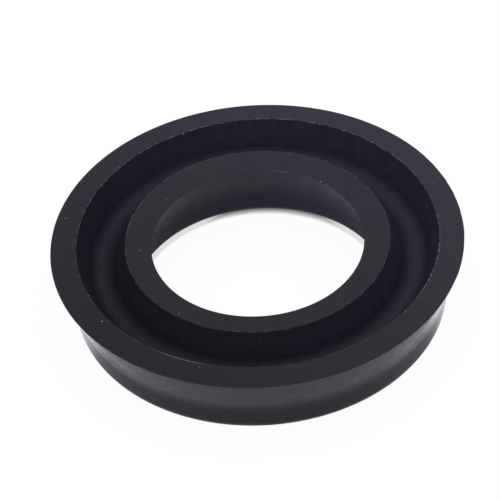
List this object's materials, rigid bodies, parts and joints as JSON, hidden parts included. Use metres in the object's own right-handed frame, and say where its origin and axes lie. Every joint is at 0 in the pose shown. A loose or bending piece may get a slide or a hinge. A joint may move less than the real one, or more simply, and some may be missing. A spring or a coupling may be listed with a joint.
{
  "type": "u cup seal",
  "caption": "Black rubber U cup seal ring: a solid heel with two flared lips and a round-bottomed groove between them, for sealing a rod or piston under pressure.",
  "frame": {"origin": "centre of the flat heel face, on the ring's axis", "axes": "+Z along the ring's axis, from the heel towards the lips; X and Y are free, because the ring is round"},
  "size_m": [0.0496, 0.0496, 0.0097],
  "materials": {
    "rubber": "moulded, satin"
  },
  "bodies": {
    "root": {"seal_ring": "rubber"}
  },
  "joints": []
}
